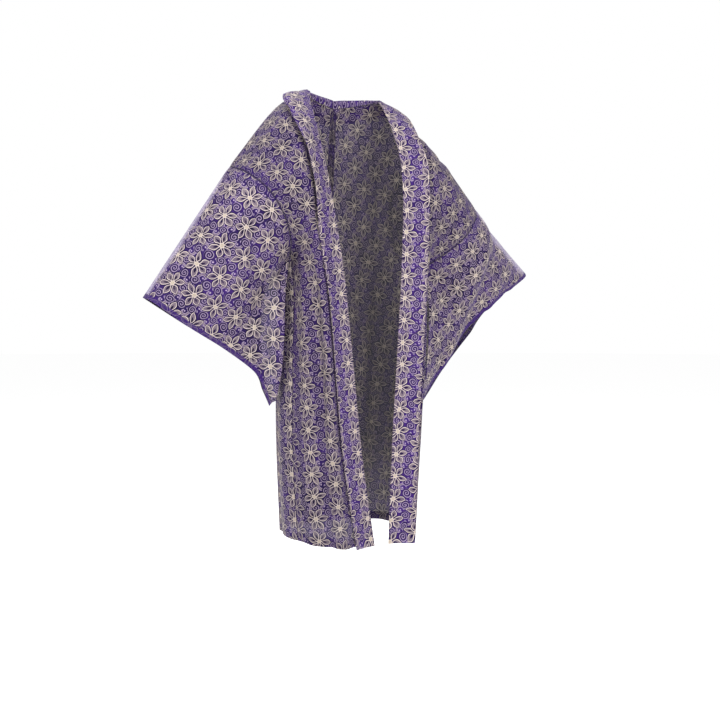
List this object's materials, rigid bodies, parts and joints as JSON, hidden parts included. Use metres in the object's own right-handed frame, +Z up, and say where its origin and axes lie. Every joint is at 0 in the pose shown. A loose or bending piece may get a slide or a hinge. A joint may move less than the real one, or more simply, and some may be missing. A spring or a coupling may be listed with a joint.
{
  "type": "haori jacket",
  "caption": "Long sheer haori jacket worn open, with square hanging sleeves, side gussets and a folded collar band down both fronts.",
  "frame": {"origin": "midway between the two neck points on the shoulder line, where the wearer's shoulders hold the jacket", "axes": "+Z up, -Y towards the front of the jacket, -X towards the wearer's right sleeve"},
  "size_m": [1.0402, 0.2644, 1.0161],
  "materials": {
    "body_cloth": "sheer woven cloth, violet ground with beige flower and scroll pattern",
    "sleeve_cloth": "sheer woven cloth, violet ground with beige flower and scroll pattern",
    "collar_cloth": "doubled sheer woven cloth, violet ground with beige flower and scroll pattern"
  },
  "bodies": {
    "root": {"body_right": "body_cloth", "body_left": "body_cloth", "gusset_right": "body_cloth", "gusset_left": "body_cloth", "sleeve_right": "sleeve_cloth", "sleeve_left": "sleeve_cloth", "collar": "collar_cloth"}
  },
  "joints": []
}
